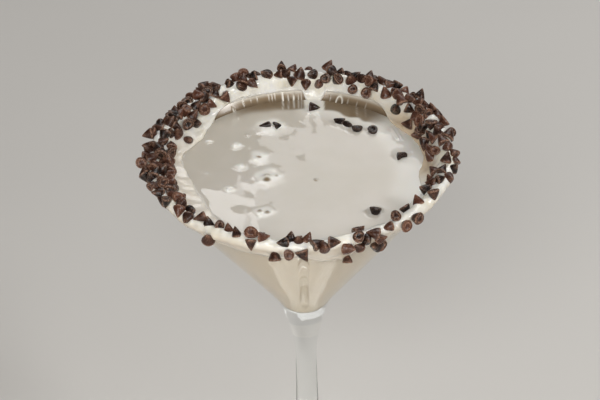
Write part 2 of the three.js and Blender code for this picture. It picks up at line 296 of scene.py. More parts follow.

# The painted reflection of the white tab in the drink: its left and right sides and its front edge
TAB_LEFT = 2.4
TAB_RIGHT = 10.4
TAB_FRONT = 42.8

# The brown shade of the wall on the drink: its ends in degrees, its width, and its scallops' width,
# azimuth and width in degrees. It is narrower, with a softer edge, past an azimuth.
SHADE_START = 46
SHADE_END = 121
SHADE_WIDTH = 7.0
SHADE_SCALLOPS = [(1.8, 62, 5), (1.6, 53, 3)]
SHADE_NARROWING = 3.0
SHADE_NARROW_PAST = 108
SHADE_SOFT_PAST = 100
LEG_REFLECTION_REACH = 6.5

# The whiter foam along the shore, partly a painted reflection of the lights: its ends in degrees,
# its width and strength
SHORE_FOAM_AND_REFLECTION_START = -28
SHORE_FOAM_AND_REFLECTION_END = 89
SHORE_FOAM_AND_REFLECTION_WIDTH = 13
FOAM_AND_REFLECTION_STRENGTH = 0.92

# Brown crumbs in the skin, and painted shade on the front sides of bubbles: x, y, radius and
# strength
SPECKS = [
    (-16.3, 10.5, 1.1, 1.0),
    (-15.9, -25.2, 1.1, 0.9),
    (-13.0, -26.2, 1.2, 0.9),
    (-13.2, -5.2, 1.7, 1.0),
    (-13.2, -2.6, 1.6, 0.5),
    (-9.3, -2.6, 0.8, 0.7),
    (5.9, -6.2, 0.7, 0.6),
    (-28.6, -10.2, 0.6, 0.5),
]

# Thin light ridges on the drink: the two ends and the width
SKIN_RIDGES = [
    (37.2, 29.0, 39.6, 20.5, 0.5),
    (38.6, 29.4, 41.0, 20.5, 0.4),
]

# Long low swells in the drink's skin: radians per millimetre, direction and phase in radians
SKIN_SWELLS = [
    (0.35, 0.4, 0.0),
    (0.27, 1.9, 1.3),
    (0.5, 2.8, 2.1),
    (0.62, 1.1, 4.0),
    (0.85, 0.1, 5.2),
]
SWELL_STEEPNESS = 0.006
SHORE_MENISCUS = 0.12
CHIP_MENISCUS = 0.5
CHIP_MENISCUS_REACH = 1.2
FOAM_RISE = 0.25
RIDGE_RISE = 0.16
HIGHEST_SKIN = 1.2

# The milky film on the bare wall at the back
FILM_START = 44.0
FILM_END = 134.0
FILM_TOP = BARE_WALL_DEPTH - 0.9
FILM_BOTTOM = DRINK_DEPTH + 0.4
FILM_THICKNESS = 0.1
FILM_SWELLING = 0.3  # how much thicker the film is on a leg, and again at its foot
FILM_FOOT_REACH = 0.8
FILM_INTO_GLASS = 0.03

# Legs: azimuth, half width in degrees, the depths where they start and end, and how white they are
LEGS = [
    (121.3, 0.35, 5.0, 6.9, 0.9),
    (120.4, 0.3, 5.8, 6.9, 0.7),
    (115.8, 0.3, 3.6, 5.4, 0.8),
    (112.0, 0.25, 4.0, 5.0, 0.4),
    (109.0, 0.3, 3.8, 5.2, 0.5),
    (103.4, 0.25, 3.0, 5.6, 0.5),
    (102.0, 0.2, 3.0, 5.8, 0.6),
    (100.6, 0.25, 3.0, 5.6, 0.5),
    (97.2, 0.35, 3.0, 6.9, 1.0),
    (94.6, 0.3, 4.4, 6.9, 0.7),
    (92.2, 0.4, 4.6, 6.9, 1.0),
    (90.0, 0.25, 4.6, 6.9, 0.7),
    (88.6, 0.25, 4.2, 6.9, 0.6),
    (75.4, 0.25, 4.6, 6.2, 0.4),
    (67.0, 0.3, 4.8, 6.4, 0.35),
    (62.5, 0.25, 5.0, 6.6, 0.35),
    (58.0, 0.3, 4.6, 6.6, 0.3),
]
# One leg has run into a loop: its middle's azimuth and depth, its half width and height
LOOP = (71.0, 6.4, 1.3, 2.1)

# How finely the pieces are divided
GLASS_COLUMNS = 192
CURVE_STEPS = 8
WALL_STEPS = 9
ROUND_STEPS = 10
ICING_COLUMNS = 720
FACE_STEPS = 6
BACK_STEPS = 8
EDGE_STEPS = 4
CHIP_COLUMNS = 16
DRINK_COLUMNS = 480
DRINK_RINGS = 120
FILM_COLUMNS = 400
FILM_ROWS = 26

# The stage, in metres, and the camera
FLOOR_HALF = 6.0
FLOOR_GAP = 0.0004
BACK_LIGHT_DISTANCE = 1.2
CAMERA_DISTANCE = 700.0
CAMERA_ELEVATION = 35.0
CAMERA_ROLL = -1.7
FOCAL_PIXELS = 1800.0
LIP_PIXEL = (300.2, 158.3)
IMAGE_SIZE = (600, 400)
SENSOR = 36.0


def outer_wall(depth):
    return LIP_RADIUS - OUTER_SLOPE * depth


def inner_wall(depth):
    return LIP_INNER_RADIUS - INNER_SLOPE * depth


def bump(azimuth, centre, width):
    """A smooth bump of height 1 about an azimuth."""
    away = np.mod(azimuth - centre + 540, 360) - 180
    return np.exp(-(np.abs(away / width) ** 2.5))


def bumps(azimuth, rows):
    """The sum of bumps, each given by its height, azimuth and width."""
    return sum(height * bump(azimuth, centre, width) for height, centre, width in rows)


def wave(azimuth, count, phase):
    """A wave that closes on itself round the rim."""
    return np.sin((count * azimuth + phase) * DEGREE)


def step(value, soft):
    """0 below zero, 1 above it, with a soft edge."""
    return 1 / (1 + np.exp(-np.clip(value / soft, -60, 60)))


def between(azimuth, low, high, soft):
    """0 to 1 to 0 between two azimuths, with soft ends."""
    return step(azimuth - low, soft) - step(azimuth - high, soft)


def make_draw(seed):
    """Seeded draws from 0 to 1, by a linear congruential generator."""
    state = [seed]

    def draw():
        state[0] = (state[0] * 1664525 + 1013904223) % 4294967296
        return state[0] / 4294967296

    return draw


def bezier(points, steps):
    """A Bezier curve of any degree through its control points, without its first point."""
    control = np.array(points, float)
    degree = len(control) - 1
    t = np.linspace(0, 1, steps + 1)[1:, None]
    total = np.zeros((steps, 2))
    for i, point in enumerate(control):
        total += math.comb(degree, i) * (1 - t) ** (degree - i) * t**i * point
    return [tuple(p) for p in total]


# Meshes

def piece(name, vertices, faces, material, replaces=None):
    """A mesh object from points in millimetres. It rides on the one body."""
    mesh = bpy.data.meshes.new(name)
    mesh.from_pydata((np.asarray(vertices) * MM).tolist(), [], faces)
    mesh.validate()
    mesh.polygons.foreach_set("use_smooth", [True] * len(mesh.polygons))
    mesh.materials.append(material)
    mesh.update()
    thing = bpy.data.objects.new(name, mesh)
    bpy.context.scene.collection.objects.link(thing)
    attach(thing, "root")
    if replaces:
        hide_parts(replaces)
    return thing


def paint(thing, name, values):
    """A value for each vertex, which the piece's material reads by name."""
    attribute = thing.data.attributes.new(name, "FLOAT", "POINT")
    attribute.data.foreach_set("value", values)


def ring_faces(rows, columns, first=0, close_rows=False):
    """Quads of a grid whose columns close into rings; a row's vertices follow each other."""
    faces = []
    for r in range(rows if close_rows else rows - 1):
        low = first + r * columns
        high = first + ((r + 1) % rows) * columns
        for c in range(columns):
            n = (c + 1) % columns
            faces.append((low + c, low + n, high + n, high + c))
    return faces


def turned(profile, columns):
    """A lathe solid about Z from an axis-to-axis profile of (radius, height)."""
    inner = profile[1:-1]
    angles = np.arange(columns) * 2 * math.pi / columns
    rings = [
        np.stack([r * np.cos(angles), r * np.sin(angles), np.full(columns, z)], 1) for r, z in inner
    ]
    vertices = np.concatenate([[(0, 0, profile[0][1])], *rings, [(0, 0, profile[-1][1])]])
    faces = ring_faces(len(inner), columns, first=1)
    last = len(vertices) - 1
    top = 1 + (len(inner) - 1) * columns
    for c in range(columns):
        n = (c + 1) % columns
        faces.append((0, 1 + n, 1 + c))
        faces.append((last, top + c, top + n))
    return vertices, faces


# Materials

def srgb(red, green, blue):
    """A colour given as 0 to 255 screen values."""
    def linear(value):
        share = value / 255
        return share / 12.92 if share <= 0.04045 else ((share + 0.055) / 1.055) ** 2.4
    return (linear(red), linear(green), linear(blue), 1.0)


def new_material(name, **sockets):
    material = bpy.data.materials.new(name)
    material.use_nodes = True
    tree = material.node_tree
    shader = tree.nodes["Principled BSDF"]
    for socket, value in sockets.items():
        shader.inputs[socket.replace("_", " ")].default_value = value
    return material, tree, shader


def add_noise(tree, scale, detail=3.0, roughness=0.5):
    """A noise texture over the object's own coordinates in metres; scale is waves per metre."""
    where = tree.nodes.new("ShaderNodeTexCoord")
    texture = tree.nodes.new("ShaderNodeTexNoise")
    texture.inputs["Scale"].default_value = scale
    texture.inputs["Detail"].default_value = detail
    texture.inputs["Roughness"].default_value = roughness
    tree.links.new(where.outputs["Object"], texture.inputs["Vector"])
    return texture.outputs["Fac"]


def add_range(tree, value, low, high, to_low, to_high):
    change = tree.nodes.new("ShaderNodeMapRange")
    change.interpolation_type = "SMOOTHSTEP"
    tree.links.new(value, change.inputs["Value"])
    change.inputs["From Min"].default_value = low
    change.inputs["From Max"].default_value = high
    change.inputs["To Min"].default_value = to_low
    change.inputs["To Max"].default_value = to_high
    return change.outputs["Result"]


def add_mix(tree, factor, first, second):
    """Mixes two colours, each a socket or a value."""
    mix = tree.nodes.new("ShaderNodeMix")
    mix.data_type = "RGBA"
    tree.links.new(factor, mix.inputs["Factor"])
    for socket, value in ((mix.inputs["A"], first), (mix.inputs["B"], second)):
        if isinstance(value, tuple):
            socket.default_value = value
        else:
            tree.links.new(value, socket)
    return mix.outputs["Result"]


def add_bump(tree, shader, height, distance, strength=1.0):
    node = tree.nodes.new("ShaderNodeBump")
    node.inputs["Distance"].default_value = distance
    node.inputs["Strength"].default_value = strength
    tree.links.new(height, node.inputs["Height"])
    tree.links.new(node.outputs["Normal"], shader.inputs["Normal"])


def add_attribute(tree, name):
    node = tree.nodes.new("ShaderNodeAttribute")
    node.attribute_name = name
    return node.outputs["Fac"]


def glass_material():
    material, tree, shader = new_material(
        "clear_glass", Base_Color=(0.955, 0.97, 0.965, 1), IOR=1.5, Transmission_Weight=1.0
    )
    smudge = add_noise(tree, 60, detail=2)
    tree.links.new(add_range(tree, smudge, 0.45, 0.75, 0.0, 0.05), shader.inputs["Roughness"])
    return material


def drink_material():
    material, tree, shader = new_material("creamy_drink", IOR=1.34, Subsurface_Weight=0.35)
    shader.inputs["Subsurface Radius"].default_value = (1.0, 0.8, 0.6)
    shader.inputs["Subsurface Scale"].default_value = 0.004
    cloud = add_range(tree, add_noise(tree, 45, detail=4), 0.3, 0.7, 0.0, 1.0)
    liquid = add_mix(tree, cloud, srgb(202, 195, 182), srgb(208, 201, 190))
    side = add_mix(tree, add_attribute(tree, "side"), liquid, srgb(210, 198, 177))
    # Painted shade on the drink: the wall's shade band at the back and the bubbles' shaded front
    # sides, together with the brown crumbs
    shaded = add_mix(tree, add_attribute(tree, "shade"), side, srgb(136, 118, 94))
    # Whiter where there is foam, and where painted reflections of the lights, the tab and the legs
    # lie on the drink
    foam_and_reflection = add_attribute(tree, "foam_and_reflection")
    tree.links.new(add_mix(tree, foam_and_reflection, shaded, srgb(248, 245, 237)), shader.inputs["Base Color"])
    fine = add_noise(tree, 900, detail=2)
    tree.links.new(add_range(tree, fine, 0.2, 0.8, 0.015, 0.04), shader.inputs["Roughness"])
    return material


def icing_material():
    material, tree, shader = new_material("white_icing", IOR=1.45, Subsurface_Weight=0.4)
    shader.inputs["Subsurface Radius"].default_value = (1.0, 0.95, 0.8)
    shader.inputs["Subsurface Scale"].default_value = 0.002
    cloud = add_range(tree, add_noise(tree, 110, detail=4), 0.35, 0.7, 0.0, 1.0)
    coat = add_mix(tree, cloud, srgb(249, 247, 240), srgb(242, 236, 219))
    run = add_attribute(tree, "run")
    dipped = add_mix(tree, run, coat, srgb(214, 204, 188))
    tan = add_attribute(tree, "tan")
    tree.links.new(add_mix(tree, tan, dipped, srgb(222, 198, 166)), shader.inputs["Base Color"])
    fine = add_noise(tree, 500, detail=2)
    tree.links.new(add_range(tree, fine, 0.25, 0.75, 0.08, 0.22), shader.inputs["Roughness"])
    add_bump(tree, shader, fine, 0.00015, 0.4)
    return material


def chocolate_material(name, dark, light, worn_tone, bloom_glint_tone):
    material, tree, shader = new_material(name, IOR=1.42)
    tone = add_attribute(tree, "tone")
    base = add_mix(tree, tone, dark, light)
    grain = add_noise(tree, 1500, detail=4, roughness=0.65)
    patch = add_noise(tree, 420, detail=3, roughness=0.6)
    worn = add_range(tree, patch, 0.52, 0.72, 0.0, 0.55)
    patched = add_mix(tree, worn, base, worn_tone)
    # Lighter bloom and painted glints on the chips' edge rings and tips
    edge = tree.nodes.new("ShaderNodeMath")
    edge.operation = "MULTIPLY"
    tree.links.new(add_attribute(tree, "bloom_and_glint"), edge.inputs[0])
    tree.links.new(add_range(tree, grain, 0.35, 0.65, 0.1, 0.8), edge.inputs[1])
    bloom_glint = add_mix(tree, edge.outputs[0], patched, bloom_glint_tone)
    tree.links.new(bloom_glint, shader.inputs["Base Color"])
    tree.links.new(add_range(tree, grain, 0.3, 0.7, 0.2, 0.38), shader.inputs["Roughness"])
    add_bump(tree, shader, patch, 0.0007, 0.7)
    return material


def film_material():
    material, tree, shader = new_material("milky_film_painted_shade", IOR=1.37, Roughness=0.2)
    # Painted shade: the film goes from pale at the top to dark brown towards the drink
    low = add_attribute(tree, "low")
    upper = add_mix(
        tree, add_range(tree, low, 0.1, 0.6, 0.0, 1.0), srgb(236, 231, 219), srgb(150, 131, 106)
    )
    cloud = add_range(tree, add_noise(tree, 160, detail=2), 0.3, 0.7, 0.0, 1.0)
    lower = add_mix(tree, cloud, srgb(108, 91, 71), srgb(124, 107, 85))
    wall = add_mix(tree, add_range(tree, low, 0.5, 0.95, 0.0, 1.0), upper, lower)
    streak = add_attribute(tree, "streak")
    tree.links.new(add_mix(tree, streak, wall, srgb(246, 242, 230)), shader.inputs["Base Color"])
    return material


def floor_material():
    material, tree, shader = new_material("pale_floor")
    cloud = add_noise(tree, 6, detail=2)
    tone = add_mix(tree, cloud, srgb(214, 211, 206), srgb(220, 217, 212))
    tree.links.new(tone, shader.inputs["Base Color"])
    tree.links.new(add_range(tree, cloud, 0.3, 0.7, 0.6, 0.7), shader.inputs["Roughness"])
    return material


# The glass

def bowl_inside(top_depth, offset, steps):
    """The inside of the bowl from the axis up: a round well, then the straight wall."""
    half = math.atan(INNER_SLOPE)
    well_centre = INNER_APEX_DEPTH - WELL_RADIUS / math.sin(half)
    radius = WELL_RADIUS + offset
    points = []
    for i in range(steps + 1):
        turn = (math.pi / 2 - half) * i / steps
        points.append((radius * math.sin(turn), LIP_HEIGHT - well_centre - radius * math.cos(turn)))
    start_depth = LIP_HEIGHT - points[-1][1]
    for i in range(1, 2 * steps + 1):
        depth = start_depth + (top_depth - start_depth) * i / (2 * steps)
        points.append((inner_wall(depth) + offset / math.cos(half), LIP_HEIGHT - depth))
    return points


def lip_arc(offset, steps):
    """The rounded lip, from the outer wall over the top to the inner wall."""
    middle = outer_wall(LIP_ROUND) - LIP_WALL / 2
    radius = LIP_ROUND + offset
    height = LIP_HEIGHT - LIP_ROUND
    turns = np.linspace(*LIP_ARC, steps + 1)
    return [(middle + radius * math.cos(t), height + radius * math.sin(t)) for t in turns]


def glass_outside(steps):
    """The foot, the drawn stem and the bottom of the bowl's outside."""
    edge = FOOT_RADIUS - FOOT_ROUND
    round_edge = [(edge, 0), (FOOT_RADIUS + FOOT_ROUND, FOOT_EDGE / 2), (edge, FOOT_EDGE)]
    waist = (STEM_RADIUS, STEM_WAIST_HEIGHT)
    bowl_end = (outer_wall(BOWL_END_DEPTH), LIP_HEIGHT - BOWL_END_DEPTH)
    points = [(0, 0), (0.5 * FOOT_RADIUS, 0), (edge, 0)]
    points += bezier(round_edge, steps)
    points += bezier([(edge, FOOT_EDGE), (22, 4.4), (7.2, 5.2), STEM_BASE], 3 * steps)
    points += bezier([STEM_BASE, (STEM_RADIUS + 0.2, 46), waist], 2 * steps)
    points += bezier([waist, (STEM_RADIUS, 83), (6, 90), FLARE_END], 2 * steps)
    points += bezier([FLARE_END, (9.6, 103), bowl_end], steps)
    for i in range(1, WALL_STEPS):
        depth = BOWL_END_DEPTH * (1 - i / WALL_STEPS)
        points.append((outer_wall(depth), LIP_HEIGHT - depth))
    return points


def make_glass(material):
    inside = bowl_inside(STRAIGHT_WALL_DEPTH, 0, ROUND_STEPS)
    profile = glass_outside(CURVE_STEPS) + lip_arc(0, ROUND_STEPS) + inside[::-1]
    vertices, faces = turned(profile, GLASS_COLUMNS)
    glass = piece("fine_glass", vertices, faces, material, replaces="glass")
    glass.visible_shadow = False
    return glass


# The icing

def icing_outer_drop(azimuth):
    waves = 0.8 * wave(azimuth, 3, 23) + 0.6 * wave(azimuth, 7, 120)
    return ICING_OUTER_DROP + waves + bumps(azimuth, OUTER_RUNS)


def short_coat(azimuth):
    """The stretch at the back where the inner coat is short and thin, from 0 to 1."""
    return between(azimuth, SHORT_COAT_START, SHORT_COAT_END, 2.5)


def icing_inner_drop(azimuth):
    tab = between(azimuth, TAB_START, TAB_END, 0.4)
    return DRINK_DEPTH - (DRINK_DEPTH - BARE_WALL_DEPTH) * short_coat(azimuth) * (1 - tab)


def icing_inner_reach(azimuth):
    reach = ICING_INNER_REACH + bumps(azimuth, INNER_LOBES) + 0.35 * wave(azimuth, 11, 40)
    return reach * (1 - SHORT_COAT_THINNING * short_coat(azimuth))


def icing_crest(azimuth):
    return ICING_CREST + 0.45 * wave(azimuth, 4, 60) + 0.35 * wave(azimuth, 9, 10)


def icing_face(azimuth):
    """The icing's shown side, outer lower edge to inner edge, as (radius, height)."""
    drop = icing_outer_drop(azimuth)
    fall = icing_inner_drop(azimuth)
    reach = icing_inner_reach(azimuth)
    crest = icing_crest(azimuth)
    outer = ICING_OUTER_THICKNESS + 0.3 * wave(azimuth, 5, 200)
    inner = ICING_INNER_THICKNESS + 0.3 * wave(azimuth, 6, 75)
    points = [
        (outer_wall(drop) + ICING_OUTER_EDGE, drop),
        (outer_wall(0.7 * drop) + outer, 0.7 * drop),
        (LIP_RADIUS + outer, -0.2 * crest),
        (LIP_RADIUS - 0.3, -crest),
        (LIP_INNER_RADIUS - inner, -0.5 * crest),
        (inner_wall(0.6 * fall) - inner - 0.35 * (reach - ICING_INNER_REACH), 0.6 * fall),
        (inner_wall(fall) - reach, fall - 0.9),
        (inner_wall(fall) - reach + 0.4, fall),
    ]
    return np.array([(radius, LIP_HEIGHT - depth) for radius, depth in points])


def smooth_through(points, steps):
    """A Catmull-Rom curve through the points, with the given steps between each two."""
    padded = np.concatenate([[2 * points[0] - points[1]], points, [2 * points[-1] - points[-2]]])
    out = []
    for i in range(1, len(padded) - 2):
        before, here, there, after = padded[i - 1 : i + 3]
        for t in np.arange(steps) / steps:
            once = (there - before) * t
            twice = (2 * before - 5 * here + 4 * there - after) * t**2
            thrice = (3 * here - before - 3 * there + after) * t**3
            out.append(0.5 * (2 * here + once + twice + thrice))
    out.append(points[-1])
    return np.array(out)


def icing_spot(azimuth, share):
    """A point on the shown side and the way out of it. Share 0 is the outer lower edge."""
    face = icing_face(azimuth)
    steps = np.diff(face, axis=0)
    lengths = np.hypot(steps[:, 0], steps[:, 1])
    along = share * lengths.sum()
    before = 0.0
    j = 0
    while j < len(lengths) - 1 and before + lengths[j] < along:
        before += lengths[j]
        j += 1
    spot = face[j] + steps[j] * (along - before) / lengths[j]
    way = steps[j] / lengths[j]
    across = np.array([math.cos(azimuth * DEGREE), math.sin(azimuth * DEGREE)])
    point = Vector((spot[0] * across[0], spot[0] * across[1], spot[1]))
    outward = Vector((way[1] * across[0], way[1] * across[1], -way[0]))
    return point, outward


def toward(lean, bearing):
    """The direction that leans from upright by one angle, to a bearing."""
    flat = math.sin(lean * DEGREE)
    turn = bearing * DEGREE
    return Vector((flat * math.cos(turn), flat * math.sin(turn), math.cos(lean * DEGREE)))


def chip_on_icing(azimuth, share, lift, draw):
    """A chip thrown on the icing: its tip leans any way, and sometimes points inward."""
    point, outward = icing_spot(azimuth, share)
    lean = THROWN_LEAN * draw() ** 0.8
    lean_way = 2 * math.pi * draw()
    inward = draw() < INWARD_SHARE
    spin = 2 * math.pi * draw()
    size = SMALLEST_CHIP + CHIP_SIZE_SPREAD * draw()
    side = Vector((-math.sin(azimuth * DEGREE), math.cos(azimuth * DEGREE), 0))
    up = outward.cross(side)
    axis = outward * math.cos(lean)
    axis += side * math.sin(lean) * math.cos(lean_way)
    axis += up * math.sin(lean) * math.sin(lean_way)
    if inward:
        axis = -axis
    centre = point + outward * (CHIP_MIDDLE * CHIP_HEIGHT * size - CHIP_SINK + lift)
    return centre, axis, spin, size


def thrown_chip(sector, low, high, lift, chips, draw):
    """Of a few throws into a sector, the one that lands with the most room round it."""
    best, best_room = None, -1.0
    for _ in range(THROWS):
        azimuth = SECTOR_WIDTH * (sector + draw())
        chip = chip_on_icing(azimuth, low + (high - low) * draw(), lift, draw)
        room = min((chip[0] - other[0]).length for other in chips)
        if room > best_room:
            best, best_room = chip, room
    return best


def rim_chips():
    """The chips on the icing: first those that stand out, then thrown, heaped and filling ones."""
    draw = make_draw(CHIP_SEED)
    chips = []
    for azimuth, share, lean, bearing in PLACED_CHIPS:
        centre, _, spin, size = chip_on_icing(azimuth, share, 0, draw)
        chips.append((centre, toward(lean, bearing), spin, size))

    def throw(count, sector, low, high, lift):
        for _ in range(count):
            chips.append(thrown_chip(sector, low, high, lift, chips, draw))

    for sector, (count, low, high, _) in enumerate(CHIP_SECTORS):
        throw(count, sector, low, high, 0)
    for sector, (_, low, _, heaped) in enumerate(CHIP_SECTORS):
        throw(heaped, sector, low, HEAP_END, HEAP_LIFT)
    for sector, count in enumerate(FILLING_CHIPS):
        low, high = CHIP_SECTORS[sector][1:3]
        throw(count, sector, low, high - FILLING_MARGIN, FILLING_LIFT)
    return chips


def floating_chips():
    chips = []
    for index, (azimuth, radius, lean, bearing, rise) in enumerate(FLOATING_CHIPS):
        centre = Vector((math.cos(azimuth * DEGREE), math.sin(azimuth * DEGREE), 0)) * radius
        centre.z = DRINK_LEVEL + rise
        chips.append((centre, toward(lean, bearing), index, FLOATING_SIZE))
    return chips


# A chip's outline as shares of its radius and height, and how much lighter bloom and painted glint
# its colour gets there
CHIP_PROFILE = [
    (0, 0.07, 0.1),
    (0.34, 0.065, 0.0),
    (0.5, 0.02, 0.5),
    (0.6, 0.0, 1.0),
    (0.7, 0.015, 0.5),
    (0.82, 0.025, 0.1),
    (0.93, 0.02, 0.8),
    (1.0, 0.07, 1.0),
    (1.0, 0.13, 0.7),
    (0.94, 0.22, 0.1),
    (0.84, 0.34, 0.0),
    (0.72, 0.46, 0.0),
    (0.59, 0.58, 0.1),
    (0.45, 0.7, 0.2),
    (0.31, 0.81, 0.4),
    (0.18, 0.91, 0.7),
    (0, 1, 1.0),
]


def inside_box(points):
    """Points moved together just so far that they stay inside the object's box."""
    low = np.array(CAD_BOX[0]) / MM + BOX_MARGIN
    high = np.array(CAD_BOX[1]) / MM - BOX_MARGIN
    points = points - np.maximum(points.max(0) - high, 0)
    return points + np.maximum(low - points.min(0), 0)


def uneven_chip(shape, size, draw):
    """A chip of its own: its tip bent, its sides dented, its height a little different."""
    own = shape.copy()
    rise = own[:, 2:3]
    bend = np.array([[draw() - 0.5, draw() - 0.5]]) * TIP_BEND
    own[:, :2] += bend * rise**2.5
    turn = np.arctan2(own[:, 1], own[:, 0])
    dent = 1 + 0.07 * np.sin(2 * turn + 6 * draw()) + 0.05 * np.sin(3 * turn + 6 * draw())
    own[:, :2] *= dent[:, None]
    own[:, :2] *= CHIP_RADIUS * size * SHOWN_SIZE
    own[:, 2] = (own[:, 2] - CHIP_MIDDLE) * CHIP_HEIGHT * size
    return own


def make_chips(name, chips, material, replaces):
    """All chips of one kind in one mesh, each a little uneven, with its own tone."""
    shape, faces = turned([row[:2] for row in CHIP_PROFILE], CHIP_COLUMNS)
    rings = [row[2] for row in CHIP_PROFILE]
    bloom_and_glint = [rings[0], *np.repeat(rings[1:-1], CHIP_COLUMNS), rings[-1]]
    points, all_faces, tones = [], [], []
    for index, (centre, axis, spin, size) in enumerate(chips):
        draw = make_draw(SHAPE_SEED + SHAPE_SEED_STEP * index)
        for _ in range(SKIPPED_DRAWS):
            draw()
        own = uneven_chip(shape, size, draw)
        stand = Vector((0, 0, 1)).rotation_difference(axis).to_matrix()
        place = np.array(stand @ Matrix.Rotation(spin, 3, "Z"))
        points.append(inside_box(own @ place.T + np.array(centre)))
        all_faces += [tuple(index * len(shape) + v for v in face) for face in faces]
        tones += [draw() ** 1.3] * len(shape)
    vertices = np.concatenate(points)
    thing = piece(name, vertices, all_faces, material, replaces=replaces)
    paint(thing, "tone", tones)
    paint(thing, "bloom_and_glint", bloom_and_glint * len(chips))
    return thing


def icing_section(azimuth):
    """The icing's closed outline at an azimuth: its shown side, then its back on the glass."""
    face = smooth_through(icing_face(azimuth), FACE_STEPS)
    if icing_inner_drop(azimuth) > DRINK_DEPTH - 1:
        face[-FACE_STEPS:, 1] -= np.linspace(0, ICING_DIP, FACE_STEPS)
    inner_depths = np.linspace(LIP_HEIGHT - face[-1][1], WRAP_DEPTH, BACK_STEPS)
    outer_depths = np.linspace(WRAP_DEPTH, icing_outer_drop(azimuth), BACK_STEPS)
    inner = [(inner_wall(depth) + INTO_GLASS, LIP_HEIGHT - depth) for depth in inner_depths]
    outer = [(outer_wall(depth) - INTO_GLASS, LIP_HEIGHT - depth) for depth in outer_depths]
    return np.concatenate([face, inner, lip_arc(-INTO_GLASS, BACK_STEPS)[::-1], outer])


def face_normals(grid, shown):
    """The way out of the icing's shown side, which is the first columns of the grid."""
    along = np.roll(grid, -1, axis=0) - np.roll(grid, 1, axis=0)
    across = np.gradient(grid[:, :shown], axis=1)
    normal = np.cross(along[:, :shown], across)
    return normal / (np.linalg.norm(normal, axis=2, keepdims=True) + 1e-9)


def icing_relief(points, chips):
    """How far the shown side swells: in soft lumps, and in a collar where it holds each chip."""
    lump = np.zeros(points.shape[:2])
    for place in np.ndindex(lump.shape):
        spot = Vector(points[place])
        lump[place] = sum(noise.noise(spot * scale) * height for scale, height in LUMPS)
    collar = np.zeros(lump.shape)
    for chip in chips:
        away = np.linalg.norm(points - np.array(chip[0]), axis=2) - COLLAR_RADIUS
        collar = np.maximum(collar, np.exp(-((away / COLLAR_WIDTH) ** 2)))
    from_start = np.arange(lump.shape[1])
    edge = np.clip(np.minimum(from_start, from_start[::-1]) / EDGE_STEPS, 0, 1)
    return (lump - LUMP_SINK + COLLAR_RISE * collar) * edge


def tan_tint(azimuth, depth, row):
    """How tan the icing's inside is tinted, from 0 to 1."""
    low, high, start, strength = row
    return strength * between(azimuth, low, high, 4) * step(depth - start, 0.8)


def paint_icing(thing, vertices):
    """The darker coat outside, and the tan tint on the inside."""
    radius = np.hypot(vertices[:, 0], vertices[:, 1])
    depth = LIP_HEIGHT - vertices[:, 2]
    azimuth = np.degrees(np.arctan2(vertices[:, 1], vertices[:, 0]))
    outside = radius > outer_wall(np.maximum(depth, 0)) - 1
    run = np.clip((depth - RUN_START) / RUN_FADE, 0, 1)
    tan = tan_tint(azimuth, depth, RIGHT_TAN) + tan_tint(azimuth % 360, depth, LEFT_TAN)
    paint(thing, "run", np.where(outside, run, 0.0))
    paint(thing, "tan", np.where(outside, 0.0, tan))


def make_icing(material, chips):
    angles = np.arange(ICING_COLUMNS) * 360 / ICING_COLUMNS
    sections = np.array([icing_section(azimuth) for azimuth in angles])
    radius, height = sections[:, :, 0], sections[:, :, 1]
    turn = (angles * DEGREE)[:, None]
    grid = np.stack([radius * np.cos(turn), radius * np.sin(turn), height], 2)
    shown = (len(icing_face(0)) - 1) * FACE_STEPS + 1
    relief = icing_relief(grid[:, :shown], chips)
    grid[:, :shown] += face_normals(grid, shown) * relief[:, :, None]
    vertices = grid.transpose(1, 0, 2).reshape(-1, 3)
    rings = ring_faces(grid.shape[1], ICING_COLUMNS, close_rows=True)
    faces = [face[::-1] for face in rings]
    thing = piece("icing", vertices, faces, material, replaces="iced_rim")
    paint_icing(thing, vertices)
    return thing


# The drink

def shore_radius(azimuth):
    """Where the drink's open surface ends: at the icing, or at the bare wall behind."""
    at_icing = inner_wall(DRINK_DEPTH) - icing_inner_reach(azimuth) + 0.3
    bare = short_coat(azimuth)
    return at_icing * (1 - bare) + inner_wall(DRINK_DEPTH) * bare


def to_ridge(x, y, ridge):
    """The distance from a thin ridge, in widths of it."""
    ax, ay, bx, by, width = ridge
    length = math.hypot(bx - ax, by - ay)
    along = ((x - ax) * (bx - ax) + (y - ay) * (by - ay)) / length**2
    along = np.clip(along, 0, 1)
    return np.hypot(x - ax - along * (bx - ax), y - ay - along * (by - ay)) / width


def skin_height(x, y):
    """How far the drink's skin stands over its level."""
    azimuth = np.degrees(np.arctan2(y, x)) % 360
    inward = np.maximum(shore_radius(azimuth) - np.hypot(x, y), 0)
    height = SHORE_MENISCUS * np.exp(-inward)
    for centre, _, _, size in floating_chips():
        away = np.maximum(np.hypot(x - centre.x, y - centre.y) - CHIP_RADIUS * size, 0)
        height += CHIP_MENISCUS * np.exp(-away / CHIP_MENISCUS_REACH)
    for cx, cy, size, rise in SKIN_BUMPS:
        away = np.hypot(x - cx, y - cy)
        height += rise * np.exp(-((away / size) ** 2) * 0.8)
    height += FOAM_RISE * foam_and_reflection_share(x, y)
    for ridge in SKIN_RIDGES:
        height += RIDGE_RISE * np.exp(-(to_ridge(x, y, ridge) ** 2))
    swell = np.zeros_like(x)
    for turns, direction, phase in SKIN_SWELLS:
        along = x * math.cos(direction) + y * math.sin(direction)
        swell += np.sin(turns * along + phase) * SWELL_STEEPNESS / turns
    return np.minimum(height, HIGHEST_SKIN) + swell


